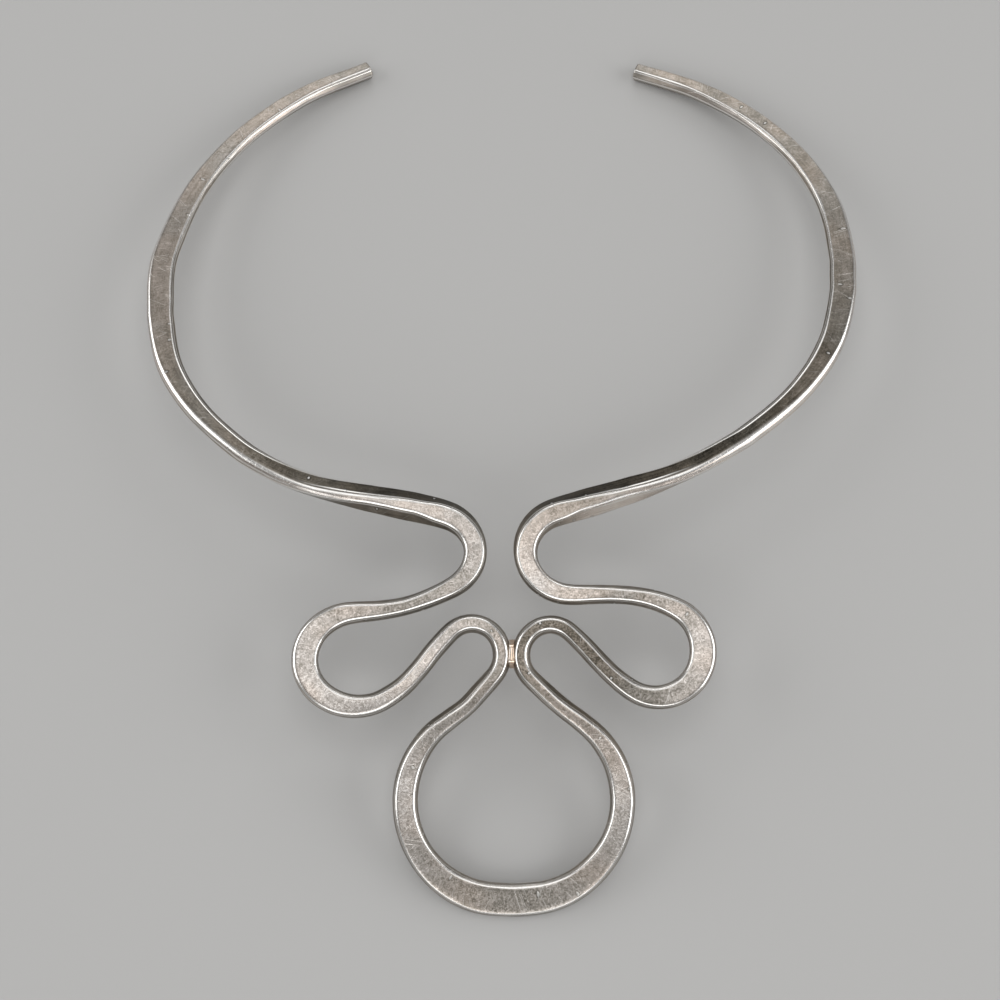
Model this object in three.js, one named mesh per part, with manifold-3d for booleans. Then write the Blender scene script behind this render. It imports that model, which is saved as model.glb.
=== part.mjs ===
// A forged silver neck ring of torc form: one bar, open at the back of the neck, runs round
// the ring, turns in at the front and is bent into two side lobes, two small upper loops and
// one large round loop. A little solder joins the two small loops.
// Millimetres, +Z up, +Y towards the open back. The torc lies face up, as on a table.

import * as THREE from "three";
import { mergeVertices } from "three/addons/utils/BufferGeometryUtils.js";
import Module from "manifold-3d";

// The hammered bevel along the bar's edges and the chamfer of its two ends.
const EDGE_BEVEL = 0.16;
const END_CHAMFER = 0.2;

// The bends of one half, from the back end to the foot of the large loop. Each is an arc of
// an ellipse: its centre, its two radii, and the angles where the bar enters and leaves it.
// x counts outwards from the middle on both sides, and 180 degrees is the outer side.
// The bar was bent by hand, so the two halves differ a little.
const LEFT = {
  back: { at: [4, 129.6], radii: [60.4, 61.7], angles: [112.3, 170.7] },
  front: { at: [-1.5, 127.5], radii: [64.8, 43.5], angles: [183.5, 222.5] },
  turn: { at: [12.7, 79.1], radii: [8.4, 7.4], angles: [72.7, -59.3] },
  lobe: { at: [24.6, 60.4], radii: [9, 8], angles: [93.2, 298.3] },
  smallLoop: { at: [4.9, 61.1], radii: [5.2, 5.4], angles: [131.5, -45.6] },
  loop: { at: [-0.3, 36.9], radii: [16.4, 15.9], angles: [122.4, 270] },
};
const RIGHT = {
  back: { at: [7.5, 140.9], radii: [57.6, 48.5], angles: [110.7, 182.4] },
  front: { at: [-3.3, 134.9], radii: [67.9, 47.5], angles: [185.2, 225.3] },
  turn: { at: [12.6, 79.2], radii: [8.2, 7.7], angles: [71.9, -90.3] },
  lobe: { at: [26.9, 61.9], radii: [8.1, 8], angles: [116.7, 302.8] },
  smallLoop: { at: [8.7, 61], radii: [5.1, 5.3], angles: [130, -47] },
  loop: { at: [3.7, 37], radii: [17.1, 16], angles: [127.5, 270] },
};

// The bar has six flats in three equal pairs. At each place, flats holds the widths of its
// first, second and third flat, and flatAngle is the angle from each of these to the next.
// rollAngle is 0 where the first flat looks up and 60 where the second does: the bar rolls by
// one flat in the front shoulders, and rocks a little from bend to bend in the ornament. The
// hammer spread the bar wide and thin on each bend and left it narrow and thick between them.
// share counts along a bend, or past it to the next.
const FORGED = [
  { on: "back", share: 0, flats: [2.3, 1.7, 1.7], rollAngle: 0, flatAngle: 60 },
  { on: "back", share: 0.38, flats: [3.2, 1.45, 1.45], rollAngle: 0, flatAngle: 60 },
  { past: "back", share: 0.5, flats: [4.2, 1.15, 1.15], rollAngle: 0, flatAngle: 60 },
  { on: "front", share: 1, flats: [2.5, 1.8, 1.9], rollAngle: 0, flatAngle: 60 },
  { past: "front", share: 0.4, flats: [3.1, 1.4, 2], rollAngle: 20, flatAngle: 60 },
  { past: "front", share: 0.65, flats: [3.4, 1.2, 2.8], rollAngle: 31, flatAngle: 50 },
  { past: "front", share: 0.87, flats: [3.4, 1.85, 2.7], rollAngle: 41, flatAngle: 50 },
  { on: "turn", share: 0, flats: [2.9, 2.8, 1.9], rollAngle: 46, flatAngle: 54 },
  { on: "turn", share: 0.54, flats: [1.35, 3.1, 1.35], rollAngle: 52, flatAngle: 60 },
  { past: "turn", share: 0.5, flats: [1.75, 1.8, 1.75], rollAngle: 70, flatAngle: 60 },
  { on: "lobe", share: 0.4, flats: [1.15, 3.85, 1.15], rollAngle: 60, flatAngle: 60 },
  { past: "lobe", share: 0.5, flats: [1.7, 2, 1.7], rollAngle: 50, flatAngle: 60 },
  { on: "smallLoop", share: 0.74, flats: [1.7, 1.75, 1.7], rollAngle: 62, flatAngle: 60 },
  { past: "smallLoop", share: 0.5, flats: [1.9, 1.8, 1.9], rollAngle: 74, flatAngle: 60 },
  { on: "loop", share: 0.38, flats: [1.5, 3.15, 1.5], rollAngle: 60, flatAngle: 60 },
  { on: "loop", share: 1, flats: [1.3, 4.7, 1.3], rollAngle: 60, flatAngle: 60 },
];

// The side profile: the torc rests on its two ends and on the foot of the large loop, and
// arches up between them to a crest at the front of the ring.
const CREST = { y: 88, height: 12.5 };

// The solder: how far it stays from the middle of each small loop, and its half length and
// half thickness.
const SOLDER = { clearance: 0.6, halfLength: 2.4, halfThickness: 1 };

// The flat spots worn where the torc rests.
const REST_CUT = 0.25;

// Between two bends the bar runs in one easy curve. These are the length of the curve's
// handles, as a share of the way, and the distance between its points.
const HANDLE_SHARE = 0.38;
const JOIN_GAP = 4;

// Fineness of the model: angle between the points of a bend, chord error and longest segment
// of the bar, number of points that trace its line and how many of them show its curvature,
// segments of the solder round and from pole to pole, and the distance that merges two points.
const BEND_STEP = 14;
const CHORD_ERROR = 0.03;
const LONGEST_SEGMENT = 3;
const TRACE_POINTS = 4000;
const CURVE_POINTS = 8;
const SOLDER_SEGMENTS = [12, 8];
const MERGE = 0.0001;

const SILVER = new THREE.MeshStandardMaterial({
  name: "aged_silver",
  color: 0xb9b0a8,
  roughness: 0.28,
  metalness: 1.0,
});

const radians = THREE.MathUtils.degToRad;
const mix = THREE.MathUtils.lerp;

const direction = (angle) => new THREE.Vector2(Math.cos(radians(angle)), Math.sin(radians(angle)));

// The forged section, as points to the left of the bar's run and up. Every corner between two
// flats has a bevel. inset draws all the flats in.
function section({ flats, rollAngle, flatAngle }, inset = 0) {
  const normals = flats.map((_, i) => direction(90 - rollAngle + i * flatAngle));
  const edges = flats.map((width, i) => new THREE.Vector2(-normals[i].y, normals[i].x).multiplyScalar(width));
  const corner = edges[0].clone().add(edges[1]).add(edges[2]).multiplyScalar(-1 / 2);
  const oneSide = edges.map((edge, i) => {
    const next = i + 1 < edges.length ? normals[i + 1] : normals[0].clone().negate();
    const pull = normals[i].clone().add(next).multiplyScalar(-inset / (1 + normals[i].dot(next)));
    return corner.add(edge).clone().add(pull);
  });
  const corners = [...oneSide, ...oneSide.map((point) => point.clone().negate())];
  return corners.flatMap((point, i) => {
    const before = corners[(i + corners.length - 1) % corners.length];
    const after = corners[(i + 1) % corners.length];
    return [before, after].map((end) =>
      point.clone().add(end.clone().sub(point).setLength(EDGE_BEVEL)),
    );
  });
}

// Height of the bar's middle where it rests, with its face sloping as the arch does there.
function restHeight(forged, reach) {
  const slope = Math.atan((2 * CREST.height) / reach);
  const depths = section(forged).map((p) => Math.abs(p.x) * Math.sin(slope) - p.y * Math.cos(slope));
  return Math.max(...depths) - REST_CUT;
}

// A place on a bend, and the way the bar runs there.
const placeOn = ({ at, radii }, angle, side) => {
  const way = direction(angle);
  return new THREE.Vector2(side * (at[0] - radii[0] * way.x), at[1] + radii[1] * way.y);
};
const runOn = ({ radii, angles }, angle, side) => {
  const way = direction(angle);
  const run = new THREE.Vector2(side * radii[0] * way.y, radii[1] * way.x);
  return run.setLength(Math.sign(angles[1] - angles[0]));
};

// The points of one bend, and those of the easy curve from one bend to the next.
function bendPoints(bend, arc, side) {
  const [start, end] = arc.angles;
  const count = Math.round(Math.abs(end - start) / BEND_STEP);
  return Array.from({ length: count + 1 }, (_, i) => ({
    bend,
    flat: placeOn(arc, mix(start, end, i / count), side),
  }));
}

function joinPoints(before, after, side) {
  const from = placeOn(before, before.angles[1], side);
  const to = placeOn(after, after.angles[0], side);
  const way = from.distanceTo(to);
  const leave = from.clone().addScaledVector(runOn(before, before.angles[1], side), way * HANDLE_SHARE);
  const enter = to.clone().addScaledVector(runOn(after, after.angles[0], side), -way * HANDLE_SHARE);
  const curve = new THREE.CubicBezierCurve(from, leave, enter, to);
  const points = curve.getPoints(Math.max(2, Math.round(way / JOIN_GAP)));
  return points.slice(1, -1).map((flat) => ({ flat }));
}

// One half of the bar, side -1 or 1: its bends, its arch, and its points in order.
function makeHalf(bends, side) {
  const endY = placeOn(bends.back, bends.back.angles[0], side).y;
  const footY = placeOn(bends.loop, bends.loop.angles[1], side).y;
  const back = { reach: endY - CREST.y, rest: restHeight(FORGED[0], endY - CREST.y) };
  const front = { reach: footY - CREST.y, rest: restHeight(FORGED.at(-1), CREST.y - footY) };
  const arch = (y) => {
    const { reach, rest } = y > CREST.y ? back : front;
    const share = (y - CREST.y) / reach;
    const rise = CREST.height - rest;
    return { z: CREST.height - rise * share ** 2, slope: (-2 * rise * share) / reach };
  };
  const arcs = Object.values(bends);
  const flatPoints = Object.keys(bends).flatMap((bend, i) => [
    ...(i ? joinPoints(arcs[i - 1], arcs[i], side) : []),
    ...bendPoints(bend, arcs[i], side),
  ]);
  const points = flatPoints.map(({ bend, flat }) => ({
    bend,
    at: new THREE.Vector3(flat.x, flat.y, arch(flat.y).z),
  }));
  return { bends, arch, points };
}

// Adds to a half the distances, from its own end, of the places in FORGED.
function measureHalf(half, distances) {
  const names = Object.keys(half.bends);
  const first = (bend) => distances[half.points.findIndex((point) => point.bend === bend)];
  const last = (bend) => distances[half.points.findLastIndex((point) => point.bend === bend)];
  half.forged = FORGED.map((place) => {
    const { on, past, share } = place;
    const s = on
      ? mix(first(on), last(on), share)
      : mix(last(past), first(names[names.indexOf(past) + 1]), share);
    return { ...place, s };
  });
}

// The forged section between two named places.
function forgedAt(half, s) {
  const after = Math.max(1, half.forged.findIndex((place) => place.s >= s));
  const [a, b] = s > half.forged.at(-1).s ? half.forged.slice(-2) : half.forged.slice(after - 1, after + 1);
  const share = THREE.MathUtils.clamp((s - a.s) / (b.s - a.s), 0, 1);
  return {
    flats: a.flats.map((width, i) => mix(width, b.flats[i], THREE.MathUtils.smoothstep(share, 0, 1))),
    rollAngle: mix(a.rollAngle, b.rollAngle, share),
    flatAngle: mix(a.flatAngle, b.flatAngle, share),
  };
}

// The line of the bar's middle from the left end to the right end, and both halves on it.
const left = makeHalf(LEFT, -1);
const right = makeHalf(RIGHT, 1);
const route = [...left.points, ...right.points.toReversed()].map((point) => point.at);
const line = new THREE.CatmullRomCurve3(route, false, "centripetal");
line.arcLengthDivisions = TRACE_POINTS;
const lengths = line.getLengths();
const LENGTH = lengths.at(-1);
const routeDistances = route.map((_, i) => lengths[Math.round((i * TRACE_POINTS) / (route.length - 1))]);
measureHalf(left, routeDistances);
measureHalf(right, routeDistances.map((s) => LENGTH - s).reverse());
const FOOT_AT = (left.forged.at(-1).s + LENGTH - right.forged.at(-1).s) / 2;

// Places along the bar where a section stands: close together where the bend is tight.
function stations() {
  const trace = line.getSpacedPoints(TRACE_POINTS);
  const gap = LENGTH / TRACE_POINTS;
  const radiusAt = (s) => {
    const i = THREE.MathUtils.clamp(Math.round(s / gap), CURVE_POINTS, TRACE_POINTS - CURVE_POINTS);
    const before = trace[i].clone().sub(trace[i - CURVE_POINTS]);
    const turn = before.angleTo(trace[i + CURVE_POINTS].clone().sub(trace[i]));
    return (CURVE_POINTS * gap) / turn;
  };
  const places = [0, END_CHAMFER];
  while (places.at(-1) < LENGTH - END_CHAMFER) {
    const step = Math.sqrt(8 * radiusAt(places.at(-1)) * CHORD_ERROR);
    places.push(places.at(-1) + Math.min(step, LONGEST_SEGMENT));
  }
  const stretch = (LENGTH - 2 * END_CHAMFER) / (places.at(-1) - END_CHAMFER);
  return [...places.map((s, i) => (i < 2 ? s : END_CHAMFER + (s - END_CHAMFER) * stretch)), LENGTH];
}

// The corner points of the bar's section at one place along it.
function sectionAt(s, inset) {
  const half = s < FOOT_AT ? left : right;
  const own = s < FOOT_AT ? s : LENGTH - s;
  const middle = line.getPointAt(s / LENGTH);
  const run = line.getTangentAt(s / LENGTH);
  const up = new THREE.Vector3(0, -half.arch(middle.y).slope, 1);
  const leftward = up.cross(run).normalize();
  const face = run.clone().cross(leftward);
  return section(forgedAt(half, own), inset).map((p) =>
    middle.clone().addScaledVector(leftward, p.x).addScaledVector(face, p.y),
  );
}

function barGeometry() {
  const places = stations();
  const rings = places.map((s, i) =>
    sectionAt(s, i === 0 || i === places.length - 1 ? END_CHAMFER : 0),
  );
  const sides = rings[0].length;
  const index = [];
  for (let r = 0; r + 1 < rings.length; r++)
    for (let i = 0; i < sides; i++) {
      const [a, b] = [r * sides + i, r * sides + ((i + 1) % sides)];
      index.push(a, b, b + sides, a, b + sides, a + sides);
    }
  const last = (rings.length - 1) * sides;
  for (let i = 1; i + 1 < sides; i++)
    index.push(0, i + 1, i, last, last + i, last + i + 1);
  const geometry = new THREE.BufferGeometry().setFromPoints(rings.flat());
  return geometry.setIndex(index);
}

// The solder, a flattened ball in the cleft where the two small loops meet.
function solderGeometry() {
  const [a, b] = [LEFT.smallLoop, RIGHT.smallLoop];
  const from = a.radii[0] - a.at[0];
  const to = b.at[0] - b.radii[0];
  const y = (a.at[1] + b.at[1]) / 2;
  const ball = new THREE.SphereGeometry(1, ...SOLDER_SEGMENTS);
  ball.scale((to - from) / 2 - SOLDER.clearance, SOLDER.halfLength, SOLDER.halfThickness);
  return ball.translate((from + to) / 2, y, left.arch(y).z);
}

const wasm = await Module();
wasm.setup();

function solid(geometry) {
  geometry.deleteAttribute("normal");
  geometry.deleteAttribute("uv");
  const merged = mergeVertices(geometry, MERGE);
  const vertProperties = merged.getAttribute("position").array;
  const triVerts = new Uint32Array(merged.index.array);
  return new wasm.Manifold(new wasm.Mesh({ numProp: 3, vertProperties, triVerts }));
}

function geometryOf(made) {
  const { numProp, vertProperties, triVerts } = made.getMesh();
  const geometry = new THREE.BufferGeometry();
  geometry.setAttribute("position", new THREE.BufferAttribute(vertProperties, numProp));
  geometry.setIndex(new THREE.BufferAttribute(triVerts, 1));
  return geometry;
}

// A block under the table plane, which cuts the flat spots that the torc rests on.
function belowTable() {
  const span = LENGTH;
  return new THREE.BoxGeometry(span, span, span).translate(0, 0, -span / 2);
}

const made = solid(barGeometry()).add(solid(solderGeometry())).subtract(solid(belowTable()));
const geometry = geometryOf(made);
geometry.computeBoundingBox();
const centre = geometry.boundingBox.getCenter(new THREE.Vector3());
geometry.translate(-centre.x, -centre.y, -geometry.boundingBox.min.z);
geometry.computeVertexNormals();

const torc = new THREE.Mesh(geometry, SILVER);
torc.name = "torc";

const part = new THREE.Group();
part.name = "silver_torc";
part.add(torc);
export default part;
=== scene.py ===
# %% [markdown]
# # A forged silver torc
# The real object is a single bar of silver. The smith forged it six-sided, bent it round a
# former into an open neck ring, then bent the rest by eye into two lobes, two small upper
# loops and one large round loop, and ran a little solder between the small loops. The
# measured model gives every size, so the lesson starts by loading it and keeping its box.

# %% Load the measured model
import math

import bmesh
import bpy
from mathutils import Euler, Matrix, Vector, geometry, noise


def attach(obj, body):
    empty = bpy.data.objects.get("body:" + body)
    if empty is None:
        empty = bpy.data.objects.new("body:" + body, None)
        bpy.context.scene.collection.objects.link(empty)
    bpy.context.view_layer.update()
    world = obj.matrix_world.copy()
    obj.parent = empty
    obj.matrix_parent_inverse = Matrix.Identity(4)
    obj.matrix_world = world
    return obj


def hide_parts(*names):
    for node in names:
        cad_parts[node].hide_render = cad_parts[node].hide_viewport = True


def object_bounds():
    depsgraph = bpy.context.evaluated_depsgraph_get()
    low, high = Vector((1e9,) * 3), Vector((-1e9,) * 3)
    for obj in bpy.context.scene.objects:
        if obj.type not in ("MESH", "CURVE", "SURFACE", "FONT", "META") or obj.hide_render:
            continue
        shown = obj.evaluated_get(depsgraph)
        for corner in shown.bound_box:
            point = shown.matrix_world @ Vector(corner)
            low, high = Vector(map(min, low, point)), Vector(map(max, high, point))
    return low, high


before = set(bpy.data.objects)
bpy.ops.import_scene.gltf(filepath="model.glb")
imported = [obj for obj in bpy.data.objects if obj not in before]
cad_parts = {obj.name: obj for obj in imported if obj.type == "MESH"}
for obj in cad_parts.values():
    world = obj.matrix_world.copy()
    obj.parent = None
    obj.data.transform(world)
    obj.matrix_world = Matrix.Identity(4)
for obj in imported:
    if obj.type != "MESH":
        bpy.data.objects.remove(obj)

MM = 0.001
MEASURED_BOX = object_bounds()
print("torc measures", [round(side / MM, 1) for side in MEASURED_BOX[1] - MEASURED_BOX[0]], "mm")

# %% [markdown]
# ## The bends of the bar
# A smith's bend is close to an arc of an ellipse, so each half of the torc is six arcs: two
# for the ring, then the turn, the lobe, the small loop and the large loop. x counts outwards
# from the middle, and 180 degrees is the outer side. The two halves differ a little, as they
# do on the real torc. All sizes here are millimetres and repeat those of the measured model.

# %% The bends of both halves
LEFT = {
    "back": {"at": (4, 129.6), "radii": (60.4, 61.7), "turns": (112.3, 170.7)},
    "front": {"at": (-1.5, 127.5), "radii": (64.8, 43.5), "turns": (183.5, 222.5)},
    "turn": {"at": (12.7, 79.1), "radii": (8.4, 7.4), "turns": (72.7, -59.3)},
    "lobe": {"at": (24.6, 60.4), "radii": (9, 8), "turns": (93.2, 298.3)},
    "small_loop": {"at": (4.9, 61.1), "radii": (5.2, 5.4), "turns": (131.5, -45.6)},
    "loop": {"at": (-0.3, 36.9), "radii": (16.4, 15.9), "turns": (122.4, 270)},
}
RIGHT = {
    "back": {"at": (7.5, 140.9), "radii": (57.6, 48.5), "turns": (110.7, 182.4)},
    "front": {"at": (-3.3, 134.9), "radii": (67.9, 47.5), "turns": (185.2, 225.3)},
    "turn": {"at": (12.6, 79.2), "radii": (8.2, 7.7), "turns": (71.9, -90.3)},
    "lobe": {"at": (26.9, 61.9), "radii": (8.1, 8), "turns": (116.7, 302.8)},
    "small_loop": {"at": (8.7, 61), "radii": (5.1, 5.3), "turns": (130, -47)},
    "loop": {"at": (3.7, 37), "radii": (17.1, 16), "turns": (127.5, 270)},
}
BEND_STEP = 14


def on_arc(arc, angle, side):
    """The place on a bend at an angle, for the left (side -1) or right (side 1) half."""
    a = math.radians(angle)
    x = arc["at"][0] - arc["radii"][0] * math.cos(a)
    return side * x, arc["at"][1] + arc["radii"][1] * math.sin(a)


print("bends in each half:", ", ".join(LEFT))

# %% [markdown]
# ## The forged flats
# The bar has six flats in three equal pairs. On the ring the first flat looks up. On the
# ornament the second does, because the bar rolls by one flat in the front shoulders. The
# hammer spread the bar wide and thin on each bend and left it narrow and thick between them,
# so each named place has its own three flat widths.
#
# Each flat also has its own tone. It is partly the grey-brown film, which is rubbed away most
# where the torc is wiped and worn, on the ornament's top, and partly painted light and shade:
# some flats, most of all the inner slopes of the front shoulders, are painted darker as shade.
# Tone 0 is the full dark film and tone 1 is clean silver.

# %% Flats, roll and tone at named places, the tone with painted light and shade
PLACES = [
    # bend, share along it (or past it, to the next bend), widths of the first three flats,
    # roll and angle from flat to flat in degrees, extra rounding of the first edge, and the
    # flats' tones on the left and right, which are film with painted light and shade
    ("on", "back", 0, (2.3, 1.7, 1.7), 0, 60, 0, (0.52, 0.60, 0.56), (0.50, 0.60, 0.56)),
    ("on", "back", 0.38, (3.2, 1.45, 1.45), 0, 60, 0, (0.55, 0.62, 0.74), (0.51, 0.60, 0.66)),
    ("past", "back", 0.5, (4.2, 1.15, 1.15), 0, 60, 0, (0.62, 0.70, 0.35), (0.52, 0.75, 0.30)),
    ("on", "front", 1, (2.5, 1.8, 1.9), 0, 60, 0.7, (0.32, 0.70, 0.32), (0.11, 1.00, 0.34)),
    ("past", "front", 0.4, (3.1, 1.4, 2.0), 20, 60, 0.7, (0.18, 0.96, 0.38), (0.04, 1.00, 0.60)),
    ("past", "front", 0.65, (3.4, 1.2, 2.8), 31, 50, 0.2, (0.12, 0.86, 0.36), (0.04, 0.66, 1.00)),
    ("past", "front", 0.87, (3.4, 1.85, 2.7), 41, 50, 0, (0.09, 0.77, 0.38), (0.05, 0.55, 1.00)),
    ("on", "turn", 0, (2.9, 2.8, 1.9), 46, 54, 0, (0.14, 0.76, 0.32), (0.12, 0.60, 0.62)),
    ("on", "turn", 0.54, (1.35, 3.1, 1.35), 52, 60, 0, (0.50, 0.73, 0.45), (0.42, 0.86, 0.42)),
    ("past", "turn", 0.5, (1.75, 1.8, 1.75), 70, 60, 0, (0.45, 0.58, 0.40), (0.45, 0.56, 0.40)),
    ("on", "lobe", 0.4, (1.15, 3.85, 1.15), 60, 60, 0, (0.60, 0.76, 0.62), (0.60, 0.78, 0.62)),
    ("past", "lobe", 0.5, (1.7, 2.0, 1.7), 50, 60, 0, (0.34, 0.85, 0.50), (0.34, 0.30, 0.50)),
    ("on", "small_loop", 0.74, (1.7, 1.75, 1.7), 62, 60, 0, (0.50, 0.57, 0.48), (0.45, 0.35, 0.48)),
    ("past", "small_loop", 0.5, (1.9, 1.8, 1.9), 74, 60, 0, (0.50, 0.58, 0.32), (0.50, 0.60, 0.32)),
    ("on", "loop", 0.38, (1.5, 3.15, 1.5), 60, 60, 0, (0.50, 0.80, 0.56), (0.50, 0.80, 0.62)),
    ("on", "loop", 1, (1.3, 4.7, 1.3), 60, 60, 0, (0.55, 0.55, 0.50), (0.55, 0.56, 0.50)),
]
MODEL_BEVEL = 0.16
SHARP_CUT = 0.38
WORN_CUT = 0.62
FLAT_LEFT = 0.1
# Brightness across an edge of its two clean-silver lines, partly worn edge and partly painted highlight
EDGE_WEAR_AND_HIGHLIGHT_LINES = ((0, 0.3, 1, 0.1, 0.7), (0.7, 0.1, 1, 0.3, 0))
RUBBED = 0.15
RING_GRAIN = 0.5
FLAT_STEPS = 6
FLATS = 6


def mix(a, b, share):
    return a + (b - a) * share


def smooth_step(x, start, end):
    share = min(max((x - start) / (end - start), 0), 1)
    return share * share * (3 - 2 * share)


def direction(angle):
    return Vector((math.cos(math.radians(angle)), math.sin(math.radians(angle))))


def hexagon(widths, roll, flat_angle, inset=0):
    """The six sharp corners, each between one flat and the next, as (left, up)."""
    normals = [direction(90 - roll + i * flat_angle) for i in range(3)]
    edges = [Vector((-n.y, n.x)) * width for n, width in zip(normals, widths)]
    corner, corners = sum(edges, Vector((0, 0))) / -2, []
    for i, (edge, normal) in enumerate(zip(edges, normals)):
        after = normals[i + 1] if i < 2 else -normals[0]
        corner = corner + edge
        corners.append(corner - (normal + after) * (inset / (1 + normal.dot(after))))
    return corners + [-c for c in corners]


def towards(corner, other, distance):
    return corner + (other - corner).normalized() * distance


print("named places on each half:", len(PLACES))

# %% [markdown]
# ## The arch
# Seen from the side the torc is an arch. It rests on its two ends and on the foot of the
# large loop, and its crest is at the front of the ring. Two parabolas share that crest. Each
# starts where the bar's lowest corner just meets the table.

# %% The arch of each half
CREST_Y, CREST_HEIGHT = 88, 12.5
REST_CUT = 0.25
HANDLE_SHARE = 0.38
JOIN_GAP = 4.0


def rest_height(place, reach):
    """Height of the bar's middle where it rests on a corner, less the flat worn there."""
    slope = math.atan(2 * CREST_HEIGHT / reach)
    corners = hexagon(*place[3:6])
    depths = []
    for i, corner in enumerate(corners):
        for other in (corners[i - 1], corners[(i + 1) % FLATS]):
            x, y = towards(corner, other, MODEL_BEVEL)
            depths.append(abs(x) * math.sin(slope) - y * math.cos(slope))
    return max(depths) - REST_CUT


def make_half(bends, side):
    end_y = on_arc(bends["back"], bends["back"]["turns"][0], side)[1]
    foot_y = on_arc(bends["loop"], bends["loop"]["turns"][1], side)[1]
    legs = {
        "back": (end_y - CREST_Y, rest_height(PLACES[0], end_y - CREST_Y)),
        "front": (foot_y - CREST_Y, rest_height(PLACES[-1], CREST_Y - foot_y)),
    }
    return {"bends": bends, "side": side, "legs": legs}


def arch(half, y):
    """Height and slope of the arch at y."""
    reach, rest = half["legs"]["back" if y > CREST_Y else "front"]
    share, rise = (y - CREST_Y) / reach, CREST_HEIGHT - rest
    return CREST_HEIGHT - rise * share * share, -2 * rise * share / reach


def way_on_arc(arc, angle, side):
    """The way the bar runs on a bend."""
    run = Vector((side * arc["radii"][0] * direction(angle).y, arc["radii"][1] * direction(angle).x))
    return run.normalized() * math.copysign(1, arc["turns"][1] - arc["turns"][0])


def join_points(before, after, side):
    """Points of the easy curve from one bend to the next."""
    start, end = Vector(on_arc(before, before["turns"][1], side)), Vector(on_arc(after, after["turns"][0], side))
    way = (end - start).length
    leave = start + way_on_arc(before, before["turns"][1], side) * way * HANDLE_SHARE
    enter = end - way_on_arc(after, after["turns"][0], side) * way * HANDLE_SHARE
    count = max(2, round(way / JOIN_GAP))
    return geometry.interpolate_bezier(start, leave, enter, end, count + 1)[1:-1]


def line_points(half):
    """The points of a half's line in order, each as (bend or None, place)."""
    flat, before = [], None
    for bend, arc in half["bends"].items():
        if before:
            flat += [(None, p) for p in join_points(before, arc, half["side"])]
        start, end = arc["turns"]
        count = round(abs(end - start) / BEND_STEP)
        flat += [(bend, on_arc(arc, mix(start, end, i / count), half["side"])) for i in range(count + 1)]
        before = arc
    return [(bend, Vector((x, y, arch(half, y)[0]))) for bend, (x, y) in flat]


left, right = make_half(LEFT, -1), make_half(RIGHT, 1)
left["points"], right["points"] = line_points(left), line_points(right)
print("points on the line:", len(left["points"]) + len(right["points"]))

# %% [markdown]
# ## One smooth line
# A spline joins the points. The centripetal kind is chosen because it never overshoots
# between close points. Each span of it is also a Bezier curve, so Blender's own Bezier
# function can step along it. The steps are short, since the hammer's work has to show.

# %% The line of the bar's middle
STATION_GAP = 0.62


def spline_stations(points):
    """Places along the spline, and the number of the station at each of its points."""
    places, at_point = [], [0]
    ends = [2 * points[0] - points[1], *points, 2 * points[-1] - points[-2]]
    for p0, p1, p2, p3 in zip(ends, ends[1:], ends[2:], ends[3:]):
        d0, d1, d2 = ((b - a).length ** 0.5 for a, b in ((p0, p1), (p1, p2), (p2, p3)))
        out = ((p1 - p0) / d0 - (p2 - p0) / (d0 + d1) + (p2 - p1) / d1) * d1
        into = ((p2 - p1) / d1 - (p3 - p1) / (d1 + d2) + (p3 - p2) / d2) * d1
        steps = max(2, round((p2 - p1).length / STATION_GAP))
        span = geometry.interpolate_bezier(p1, p1 + out / 3, p2 - into / 3, p2, steps + 1)
        places.extend(span[:-1])
        at_point.append(len(places))
    return [*places, points[-1].copy()], at_point


route = [p for _, p in left["points"]] + [p for _, p in reversed(right["points"])]
stations, at_point = spline_stations(route)
distance = [0]
for a, b in zip(stations, stations[1:]):
    distance.append(distance[-1] + (b - a).length)
LENGTH = distance[-1]
FOOT_STATION = at_point[len(left["points"]) - 1]
print(f"the bar is {LENGTH:.0f} mm long, with {len(stations)} stations")

# %% [markdown]
# ## What changes along the bar
# The named places are found along the line, and the flats, the roll and the tones are mixed
# between them.

# %% The places along each half
def measure(half, distances):
    """Adds to a half the distances, from its own end, of the named places."""
    names = list(half["bends"])
    marks = [(bend, s) for (bend, _), s in zip(half["points"], distances)]

    def first_and_last(bend):
        own = [s for name, s in marks if name == bend]
        return own[0], own[-1]

    half["places"] = []
    for kind, bend, share, widths, roll, flat_angle, soft, *film_and_shade_tones in PLACES:
        start, end = first_and_last(bend)
        if kind == "past":
            start, end = end, first_and_last(names[names.index(bend) + 1])[0]
        # This side's own tones: film with painted light and shade, which differ between the halves
        film_and_shade_tone = Vector(film_and_shade_tones[half["side"] > 0])
        half["places"].append((mix(start, end, share), Vector(widths), roll, flat_angle, soft, film_and_shade_tone))


def forged(half, s):
    """Widths, roll, flat angle, extra rounding and the flats' film colour with painted light and shade, at a
    distance from the half's end.
    """
    places = half["places"]
    i = next((i for i in range(1, len(places)) if places[i][0] >= s), len(places) - 1)
    (s0, widths0, *before), (s1, widths1, *behind) = places[i - 1], places[i]
    share = min(max((s - s0) / (s1 - s0), 0), 1)
    return [widths0.lerp(widths1, smooth_step(share, 0, 1)), *(mix(a, b, share) for a, b in zip(before, behind))]


point_distances = [distance[i] for i in at_point]
measure(left, point_distances[: len(left["points"])])
measure(right, [LENGTH - s for s in reversed(point_distances[len(left["points"]) :])])
print("the left half measures", round(left["places"][-1][0]), "mm, the right", round(right["places"][-1][0]))

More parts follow.
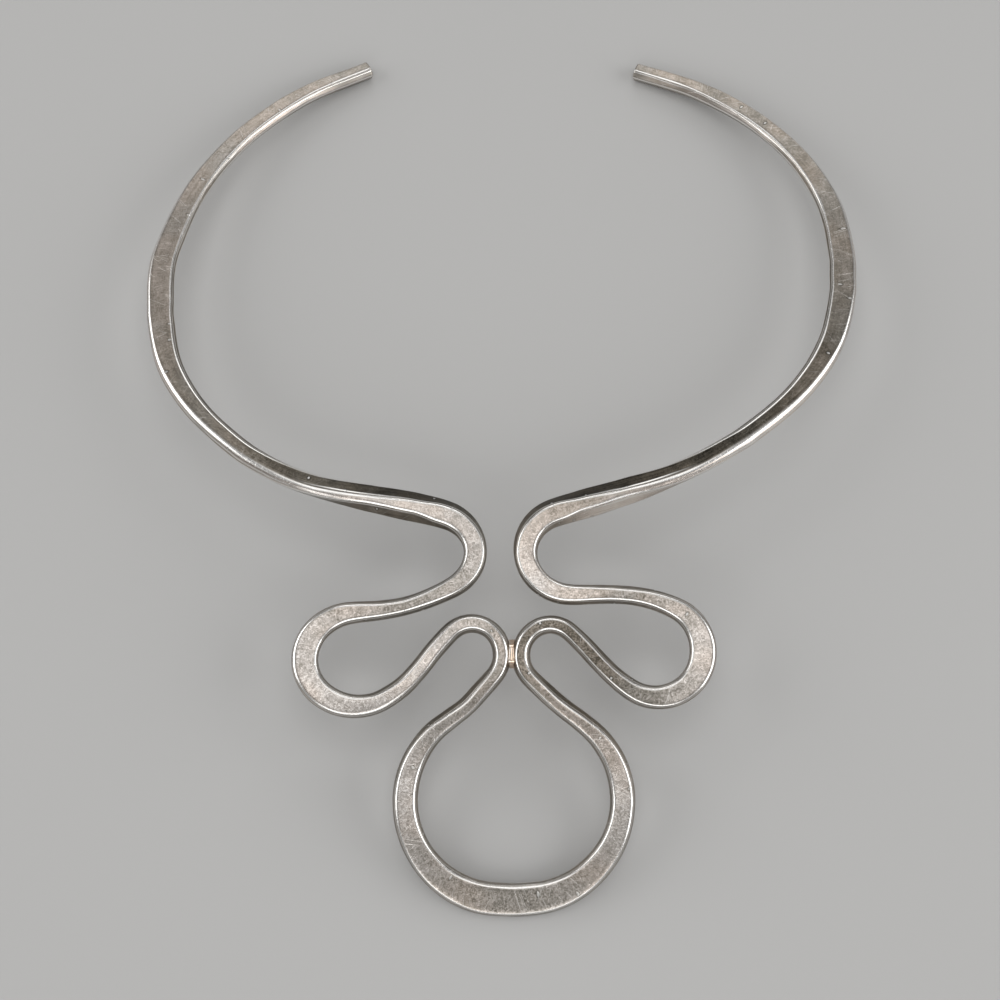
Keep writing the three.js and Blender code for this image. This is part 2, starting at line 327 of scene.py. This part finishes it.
# %% [markdown]
# ## The worked section
# This is the section at one station, as a list of points with their finish. The hammer leaves
# low waves on the flats and uneven edges. Both are real relief, so they go into the mesh:
# noise lowers each point a few hundredths of a millimetre, never outwards, so that the bar
# keeps its measured size. Each edge is painted with two bright lines of clean silver, partly
# worn edge and partly painted highlight: one on the corner and a thinner one beside it, on the
# flat that faces down more. Near an edge each flat is also rubbed a little towards the tone of
# its neighbour.

# %% One section of the bar
HAMMER_DEPTH = 0.055
HAMMER_SIZE = 3.4
EDGE_WAVE = 7.0


def edge_cut(i, s):
    """How far the rounding of edge i reaches along each flat beside it."""
    wear = 0.5 + 0.9 * noise.noise(Vector((s / EDGE_WAVE, 7.3 * i, 0)))
    return mix(SHARP_CUT, WORN_CUT, min(max(wear, 0), 1))


def worked_section(widths, roll, flat_angle, soft, s, inset=0):
    """(place as left and up, brightness of the edge's worn and painted-highlight lines, weight of each flat) for
    each point.
    """
    corners = hexagon(widths, roll, flat_angle, inset)
    cuts = [edge_cut(i, s) for i in range(FLATS)]
    cuts[0] = min(cuts[0] + soft, widths[1] - cuts[1] - FLAT_LEFT)
    points = []
    for i, (corner, cut) in enumerate(zip(corners, cuts)):
        before, after = corners[i - 1], corners[(i + 1) % FLATS]
        flat_start, flat_end = towards(before, corner, cuts[i - 1]), towards(corner, before, cut)
        next_start = towards(corner, after, cut)
        for k in range(1, FLAT_STEPS):
            share = k / FLAT_STEPS
            back, on = RUBBED * (1 - share) ** 2, RUBBED * share**2
            flats = {(i - 1) % FLATS: back, i: 1 - back - on, (i + 1) % FLATS: on}
            points.append((flat_start.lerp(flat_end, share), 0, flats))
        # The thinner painted highlight line goes on the flat that faces down more
        lean = smooth_step(after.y - before.y, -1, 1)
        for k, (first, second) in enumerate(zip(*EDGE_WEAR_AND_HIGHLIGHT_LINES)):
            t = k / (len(EDGE_WEAR_AND_HIGHLIGHT_LINES[0]) - 1)
            curve = flat_end.lerp(corner, t).lerp(corner.lerp(next_start, t), t)
            points.append((curve, mix(first, second, lean), {i: 1 - t, (i + 1) % FLATS: t}))
    return points


sample = worked_section((2, 3, 2), 30, 60, 0, 0)
print(len(sample), "points in a section, the first at", [round(c, 2) for c in sample[0][0]])

# %% [markdown]
# ## Sweeping the bar
# A circle with one vertex for each point of the section is extruded from station to station,
# and its vertices are moved to their places each time. That keeps the whole bar one closed
# skin, which a curve with a bevel object couldn't do here, because the section itself changes
# shape. Each vertex keeps the number of its spoke, so the finish can be written on it.

# %% Place and finish of every point
END_ROUND = 0.35
END_STEPS = 5
# The edge finish holds the clean-silver edge lines, partly wear and partly painted highlight; the last holds the
# film's tone with painted light and shade
FINISHES = ("edge", "planished", "film_and_shade_tone")


def ring_at(i, slide=0, inset=0):
    """The points of the section at station i, slid along the bar, as (place, finish) pairs."""
    half = left if i <= FOOT_STATION else right
    own = distance[i] if half is left else LENGTH - distance[i]
    widths, roll, flat_angle, soft, film_and_shade_tones = forged(half, own)
    turned = min(roll / 60, 1)
    run = (stations[min(i + 1, len(stations) - 1)] - stations[max(i - 1, 0)]).normalized()
    leftward = Vector((0, -arch(half, stations[i].y)[1], 1)).cross(run).normalized()
    face = run.cross(leftward)
    middle = stations[i] + run * slide
    ring = []
    for at, edge, flats in worked_section(widths, roll, flat_angle, soft, distance[i], inset):
        place = middle + leftward * at.x + face * at.y
        spot = place / HAMMER_SIZE
        wave = 0.5 + 0.6 * noise.noise(spot) + 0.3 * noise.noise(spot * 2.3)
        sink = HAMMER_DEPTH * min(max(wave, 0), 1) * (1 - 0.6 * edge)
        place += (middle - place).normalized() * sink
        planished = flats.get(0, 0) * (1 - turned) * RING_GRAIN + flats.get(1, 0) * turned
        # Each flat's tone is its film with painted light and shade
        film_and_shade_tone = sum(share * film_and_shade_tones[flat % 3] for flat, share in flats.items())
        ring.append((place, (edge, planished, film_and_shade_tone)))
    return ring


def rounded_end(i, inward):
    """Rings that round one end of the bar, from the cut face to the full section."""
    turns = [math.pi / 2 * k / END_STEPS for k in range(END_STEPS + 1)]
    return [ring_at(i, inward * END_ROUND * (1 - math.cos(a)), END_ROUND * (1 - math.sin(a))) for a in turns]


rings = [
    *rounded_end(0, 1),
    *(ring_at(i) for i in range(1, len(stations) - 1)),
    *reversed(rounded_end(len(stations) - 1, -1)),
]
print("rings:", len(rings), "with", len(rings[0]), "points each")

# %% The bar's mesh
def sweep(rings, name):
    """A closed bmesh through the rings, with each point's finish in layers of its own."""
    bm = bmesh.new()
    spoke = bm.verts.layers.int.new("spoke")
    station = bm.verts.layers.int.new("station")
    finishes = [bm.verts.layers.float.new(finish) for finish in FINISHES]
    bmesh.ops.create_circle(bm, segments=len(rings[0]), radius=MM)
    bm.verts.ensure_lookup_table()
    for i, v in enumerate(bm.verts):
        v[spoke] = i
    edges, verts = bm.edges[:], bm.verts[:]
    for number, ring in enumerate(rings):
        if number:
            made = bmesh.ops.extrude_edge_only(bm, edges=edges)["geom"]
            edges = [g for g in made if isinstance(g, bmesh.types.BMEdge)]
            verts = [g for g in made if isinstance(g, bmesh.types.BMVert)]
        for v in verts:
            place, finish = ring[v[spoke]]
            v.co = place * MM
            v[station] = number
            for layer, value in zip(finishes, finish):
                v[layer] = value
    bmesh.ops.edgeloop_fill(bm, edges=[e for e in bm.edges if e.is_boundary])
    bmesh.ops.recalc_face_normals(bm, faces=bm.faces)
    print(f"{name}: {len(bm.faces)} faces")
    return bm


bar = sweep(rings, "bar")

# %% [markdown]
# ## Laying the bar down
# The bar's box is centred on the measured one, and what would reach under the table is worn
# to a small flat there. The bar also gets a UV map that follows it, one unit to a
# millimetre, along the bar and round it, because scratches and draw marks follow the bar.

# %% Place, flat spots and UV map
def box_of(bm):
    corners = [[pick(v.co[axis] for v in bm.verts) for axis in range(3)] for pick in (min, max)]
    return [Vector(corner) for corner in corners]


lowest, highest = box_of(bar)
to_middle = (MEASURED_BOX[0] + MEASURED_BOX[1] - lowest - highest) / 2
to_middle.z = 0
bmesh.ops.translate(bar, verts=bar.verts, vec=to_middle)
for v in bar.verts:
    v.co.z = max(v.co.z, 0)


def map_bar(bm, rings):
    """A UV map in millimetres: u along the bar, v round it."""
    uv = bm.loops.layers.uv.new("bar")
    spoke, station = bm.verts.layers.int["spoke"], bm.verts.layers.int["station"]
    across = [sum((ring[i][0] - ring[i - 1][0]).length for i in range(len(ring))) for ring in rings]
    middle = [sum((point for point, _ in ring), Vector()) / len(ring) for ring in rings]
    along = [0]
    for a, b in zip(middle, middle[1:]):
        along.append(along[-1] + (b - a).length)
    last = len(rings[0]) - 1
    for face in bm.faces:
        seam = {v[spoke] for v in face.verts} >= {0, last}
        for loop in face.loops:
            k = loop.vert[spoke] + (last + 1 if seam and loop.vert[spoke] == 0 else 0)
            n = loop.vert[station]
            loop[uv].uv = (along[n], across[n] * k / (last + 1))


map_bar(bar, rings)
print("box of the bar:", [[round(c / MM, 2) for c in corner] for corner in box_of(bar)])

# %% [markdown]
# ## The solder
# The two small loops nearly touch, and a little solder bridges them. Melted solder is drawn
# into the gap and leaves a saddle: narrow and sunk in the middle, and spread where it climbs
# each loop. The same sweep makes it, with a round section that swells at both ends.

# %% The solder between the small loops
SOLDER_LENGTH = 5.3
SOLDER_LIFT = 0.7
SOLDER_RINGS = 22
SOLDER_POINTS = 24


def solder_rings():
    """Rings across the gap, from the front of the solder to its back."""
    facing = {
        half["side"]: min(
            (p for b, p in half["points"] if b == "small_loop"), key=lambda p: p.x * half["side"]
        )
        for half in (left, right)
    }
    a, b = facing[-1], facing[1]
    middle = (a + b) / 2
    print(f"middle lines of the small loops: {(b - a).length:.2f} mm apart at", [round(c, 1) for c in middle])
    made = []
    for i in range(SOLDER_RINGS):
        share = 2 * i / (SOLDER_RINGS - 1) - 1
        wide = 0.75 + 1.2 * abs(share) ** 2.5
        tall = 1.2 - 0.45 * abs(share) ** 4
        ring = []
        for k in range(SOLDER_POINTS):
            t = 2 * math.pi * k / SOLDER_POINTS
            across, up = math.cos(t), math.copysign(abs(math.sin(t)) ** 0.7, math.sin(t))
            sag = 0.6 + 0.4 * abs(across) ** 1.2
            y = middle.y + SOLDER_LIFT + share * SOLDER_LENGTH / 2 * mix(0.6, 1, across * across)
            ring.append((Vector((middle.x + wide * across, y, middle.z + tall * up * sag)), (0, 0, 1)))
        made.append(ring)
    return made


solder = sweep(solder_rings(), "solder")
bmesh.ops.translate(solder, verts=solder.verts, vec=to_middle)


def finished(bm, name):
    """A scene object that holds the bmesh, smooth, with its place in its mesh."""
    mesh = bpy.data.meshes.new(name)
    for face in bm.faces:
        face.smooth = True
    bm.to_mesh(mesh)
    bm.free()
    piece = bpy.data.objects.new(name, mesh)
    bpy.context.collection.objects.link(piece)
    return piece


torc_bar = finished(bar, "torc_bar")
solder_bridge = finished(solder, "solder_bridge")
print("pieces:", torc_bar.name, solder_bridge.name)

# %% [markdown]
# ## How the finishes are made
# Every finish is a small graph of shader nodes. Two helpers keep the graphs short: one adds a
# node with its settings and its inputs, and one adds a sum. An input may be a plain value or
# another node's output.

# %% Helpers for shader graphs
def add(tree, kind, inputs=None, **settings):
    """Adds a node. inputs holds values or other nodes' outputs, by socket name or number."""
    node = tree.nodes.new("ShaderNode" + kind)
    for setting, value in settings.items():
        setattr(node, setting, value)
    for socket, value in (inputs or {}).items():
        if isinstance(value, bpy.types.NodeSocket):
            tree.links.new(value, node.inputs[socket])
        else:
            node.inputs[socket].default_value = value
    return node


def work(tree, operation, *values):
    """The result of a Math node."""
    node = add(tree, "Math", dict(enumerate(values)), operation=operation)
    return node.outputs[0]


def between(tree, value, low, high):
    """value taken from low..high to 0..1, with soft ends."""
    node = add(tree, "MapRange", {0: value, 1: low, 2: high}, interpolation_type="SMOOTHSTEP")
    return node.outputs[0]


def blend(tree, share, first, second, how="MIX"):
    """A mix of two colours."""
    node = add(tree, "Mix", {"Factor": share}, data_type="RGBA", blend_type=how)
    for socket, value in ((6, first), (7, second)):
        if isinstance(value, bpy.types.NodeSocket):
            tree.links.new(value, node.inputs[socket])
        else:
            node.inputs[socket].default_value = (*value, 1)
    return node.outputs[2]


print("node helpers are ready")

# %% [markdown]
# ## The aged silver
# Silver that is worn and wiped for years is bright on its edges and keeps a thin grey-brown
# film on its flats. Here the bright edges also paint highlight lines along them, and the film's
# tone also paints light and shade. Under the film the last planishing left a fine crackled
# grain, with short strokes across the bar where it was bent. On the flanks the marks run along
# the bar. Fine scratches go every way, and a few bright specks are the bottoms of tiny pits.
# Each of these is one pattern below. The patterns drive colour, roughness and a low bump
# together, since a scratch is all three at once.

# %% Aged silver
FILM_WITH_SHADE = (
    # tone of film with painted light and shade, and colour
    (0.00, (0.022, 0.020, 0.016)),
    (0.25, (0.108, 0.098, 0.081)),
    (0.50, (0.285, 0.262, 0.230)),
    (0.75, (0.560, 0.515, 0.480)),
    (1.00, (0.900, 0.860, 0.820)),
)
# Clean silver for worn edges, scratches and pits, also used for the painted highlight lines on the edges
CLEAN_SILVER_AND_HIGHLIGHT = (0.95, 0.93, 0.90)
WARM_TINT, COOL_TINT = (1.0, 0.95, 0.905), (0.985, 0.985, 0.98)
PIT_GAP, PIT_SIZE = 3.2, 0.26


def streaks(tree, uv, turn, length, width, seed):
    """Fine lines on the bar: noise drawn out to a length and width in mm, turned by an angle."""
    mapping = add(tree, "Mapping", {"Vector": uv, "Rotation": (0, 0, math.radians(turn))})
    squeezed = add(tree, "Mapping", {"Vector": mapping.outputs[0], "Location": (seed, seed, 0),
                                     "Scale": (1 / length, 1 / width, 1)})
    lines = add(tree, "TexNoise", {"Vector": squeezed.outputs[0], "Scale": 1.0, "Detail": 2.0},
                noise_dimensions="2D")
    return lines.outputs["Fac"]


def centred(tree, pattern, amount):
    """A pattern of 0..1 made to swing round 0 by an amount."""
    return work(tree, "MULTIPLY", work(tree, "SUBTRACT", pattern, 0.5), amount)


def aged_silver():
    material = bpy.data.materials.new("aged_silver")
    material.use_nodes = True
    tree = material.node_tree
    shader = tree.nodes["Principled BSDF"]
    place = add(tree, "TexCoord").outputs["Object"]
    uv = add(tree, "UVMap", uv_map="bar").outputs["UV"]
    finish = {name: add(tree, "Attribute", attribute_name=name).outputs["Fac"] for name in FINISHES}

    def grain(scale, detail=3.0, **more):
        made = add(tree, "TexNoise", {"Vector": place, "Scale": scale, "Detail": detail, **more})
        return made.outputs["Fac"]

    cloud, mottle = grain(60), grain(380, 4.0)
    crackle = grain(2100, 3.0, Distortion=1.6)
    strokes = streaks(tree, uv, 8, 0.34, 0.8, 3.7)
    drawn = streaks(tree, uv, 0, 8.0, 0.20, 11.3)
    scratch_a = between(tree, streaks(tree, uv, 38, 7.0, 0.11, 5.1), 0.70, 0.76)
    scratch_b = between(tree, streaks(tree, uv, -52, 6.0, 0.10, 9.9), 0.70, 0.76)
    scratches = work(tree, "MAXIMUM", scratch_a, scratch_b)
    scratches = work(tree, "MULTIPLY", scratches, between(tree, finish["film_and_shade_tone"], 0.0, 0.6))
    cells = add(tree, "TexVoronoi", {"Vector": uv, "Scale": 1 / PIT_GAP}, voronoi_dimensions="2D")
    chosen = add(tree, "SeparateColor", {0: cells.outputs["Color"]}).outputs[0]
    chosen = work(tree, "GREATER_THAN", chosen, 0.75)
    rims = between(tree, cells.outputs["Distance"], 1.6 * PIT_SIZE / PIT_GAP, PIT_SIZE / PIT_GAP)
    rims = work(tree, "MULTIPLY", rims, chosen)
    pits = between(tree, cells.outputs["Distance"], PIT_SIZE / PIT_GAP, 0.5 * PIT_SIZE / PIT_GAP)
    pits = work(tree, "MULTIPLY", pits, chosen)

    pattern = work(tree, "ADD", work(tree, "MULTIPLY", crackle, 0.82), work(tree, "MULTIPLY", strokes, 0.18))
    hammered = centred(tree, pattern, 1.5)
    lengthwise = centred(tree, drawn, 0.30)
    marks = add(tree, "Mix", {"Factor": finish["planished"], 2: lengthwise, 3: hammered}).outputs[0]
    # The film's tone, which also carries painted light and shade, plus the marks
    film_and_shade_tone = work(tree, "ADD", finish["film_and_shade_tone"], marks)
    film_and_shade_tone = work(tree, "ADD", film_and_shade_tone, centred(tree, mottle, 0.30))
    film_and_shade_tone = work(tree, "ADD", film_and_shade_tone, centred(tree, cloud, 0.22))
    film_and_shade_tone = work(tree, "SUBTRACT", film_and_shade_tone, work(tree, "MULTIPLY", rims, 0.22))
    ramp = add(tree, "ValToRGB", {0: film_and_shade_tone})
    stops = ramp.color_ramp.elements
    for at, _ in FILM_WITH_SHADE[1:-1]:
        stops.new(at)
    for stop, (_, colour) in zip(stops, FILM_WITH_SHADE):
        stop.color = (*colour, 1)
    # Where clean silver shows: the edge lines, partly worn edge and partly painted highlight, and scratches and
    # pits
    clean_and_highlight = work(tree, "MAXIMUM", between(tree, finish["edge"], 0.15, 0.75),
                  work(tree, "MULTIPLY", work(tree, "MAXIMUM", scratches, pits), 0.55))
    tint = blend(tree, between(tree, cloud, 0.42, 0.60), COOL_TINT, WARM_TINT)
    # The film colour, with painted light and shade in it
    film_with_shade = blend(tree, 1.0, ramp.outputs["Color"], tint, "MULTIPLY")
    colour = blend(tree, clean_and_highlight, film_with_shade, CLEAN_SILVER_AND_HIGHLIGHT)

    rough = add(tree, "MapRange", {0: film_and_shade_tone, 1: 0.0, 2: 1.0, 3: 0.40, 4: 0.24}).outputs[0]
    rough = add(tree, "Mix", {"Factor": clean_and_highlight, 2: rough, 3: 0.24}).outputs[0]
    height = work(tree, "ADD", work(tree, "MULTIPLY", pattern, finish["planished"]),
                  work(tree, "MULTIPLY", scratches, -0.4))
    height = work(tree, "ADD", height, work(tree, "MULTIPLY", pits, -2.0))
    bump = add(tree, "Bump", {"Height": height, "Strength": 0.35, "Distance": 0.05 * MM})
    shader.inputs["Metallic"].default_value = 1.0
    tree.links.new(colour, shader.inputs["Base Color"])
    tree.links.new(rough, shader.inputs["Roughness"])
    tree.links.new(bump.outputs["Normal"], shader.inputs["Normal"])
    return material


torc_bar.data.materials.append(aged_silver())
print("aged silver uses", len(torc_bar.data.materials[0].node_tree.nodes), "nodes")

# %% [markdown]
# ## The solder's finish
# Silver solder has copper and zinc in it, so it ages to a warm peach tone. It froze from
# liquid, so it is smoother than the hammered bar, with slight ripples from front to back.

# %% Peach solder
PEACH = (0.93, 0.72, 0.56)
PALE_PEACH = (0.96, 0.88, 0.80)


def peach_solder():
    material = bpy.data.materials.new("peach_solder")
    material.use_nodes = True
    tree = material.node_tree
    shader = tree.nodes["Principled BSDF"]
    place = add(tree, "TexCoord").outputs["Object"]
    ripple = add(tree, "Mapping", {"Vector": place, "Scale": (1400, 260, 600)})
    ripple = add(tree, "TexNoise", {"Vector": ripple.outputs[0], "Scale": 1.0, "Detail": 2.0}).outputs["Fac"]
    bump = add(tree, "Bump", {"Height": ripple, "Strength": 0.4, "Distance": 0.08 * MM})
    shader.inputs["Metallic"].default_value = 1.0
    shader.inputs["Roughness"].default_value = 0.24
    tree.links.new(blend(tree, between(tree, ripple, 0.35, 0.65), PEACH, PALE_PEACH), shader.inputs["Base Color"])
    tree.links.new(bump.outputs["Normal"], shader.inputs["Normal"])
    return material


solder_bridge.data.materials.append(peach_solder())
for piece in (torc_bar, solder_bridge):
    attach(piece, "root")
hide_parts("torc")
print("the bar stands for the measured torc")

# %% [markdown]
# ## The floor
# A plain pale floor shows the torc's outline and its contact with the table. It is matt, so
# it gives no second picture of the torc.

# %% Pale floor
FLOOR_SIZE = 6.0
FLOOR_COLOUR = (0.47, 0.466, 0.458)


def pale_floor():
    bm = bmesh.new()
    bmesh.ops.create_grid(bm, x_segments=1, y_segments=1, size=FLOOR_SIZE / 2)
    floor = finished(bm, "floor")
    material = bpy.data.materials.new("pale_floor")
    material.use_nodes = True
    shader = material.node_tree.nodes["Principled BSDF"]
    shader.inputs["Base Color"].default_value = (*FLOOR_COLOUR, 1)
    shader.inputs["Roughness"].default_value = 0.9
    floor.data.materials.append(material)
    return floor


print("floor:", pale_floor().name)

# %% [markdown]
# ## Light
# Metal shows its surroundings, so the lights are large and soft. Four boxes stand round the
# torc, low enough to draw a bright line along every edge. A dimmer one hangs overhead and
# lights the flats. The room itself is a dim grey, which keeps the ring's front darker.

# %% Softboxes
ROOM_LIGHT = 0.25
SOFTBOXES = {
    # name: place in metres, width and height in metres, brightness of its face
    "right": ((0.80, -0.10, 0.40), (0.90, 0.55), 2.2),
    "left": ((-0.80, 0.10, 0.40), (0.90, 0.55), 2.0),
    "back": ((0.05, 0.95, 0.50), (0.90, 0.50), 1.3),
    "front": ((-0.05, -0.85, 0.55), (1.10, 0.60), 1.6),
    "overhead": ((0.0, 0.10, 1.0), (0.80, 1.10), 1.0),
}


def softbox(name, place, size, brightness):
    lamp = bpy.data.lights.new(name, "AREA")
    lamp.shape = "RECTANGLE"
    lamp.size, lamp.size_y = size
    lamp.energy = brightness * math.pi * size[0] * size[1]
    box = bpy.data.objects.new(name, lamp)
    box.location = place
    box.rotation_euler = (-Vector(place)).to_track_quat("-Z", "Y").to_euler()
    bpy.context.collection.objects.link(box)
    return box


for name, (place, size, brightness) in SOFTBOXES.items():
    softbox(name, place, size, brightness)
room = bpy.data.worlds.new("room")
room.use_nodes = True
room.node_tree.nodes["Background"].inputs["Color"].default_value = (1, 1, 1, 1)
room.node_tree.nodes["Background"].inputs["Strength"].default_value = ROOM_LIGHT
bpy.context.scene.world = room
bpy.context.scene.view_settings.view_transform = "Standard"
print("softboxes:", ", ".join(SOFTBOXES))

# %% [markdown]
# ## Camera
# The camera looks down on the torc from just outside the ornament, tilted a little off the
# vertical, as in the picture that the torc was measured from.

# %% The camera
CAMERA_PLACE = (-0.53, -103.18, 263.15)
CAMERA_TILT = 19.5
LENS = 54.0


def look_down():
    camera = bpy.data.cameras.new("camera")
    camera.lens, camera.sensor_width = LENS, 36.0
    camera.clip_start = 0.01
    holder = bpy.data.objects.new("camera", camera)
    holder.location = Vector(CAMERA_PLACE) * MM
    holder.rotation_euler = Euler((math.radians(CAMERA_TILT), 0, 0))
    bpy.context.collection.objects.link(holder)
    bpy.context.scene.camera = holder
    return holder


print("camera at", [round(c, 3) for c in look_down().location])
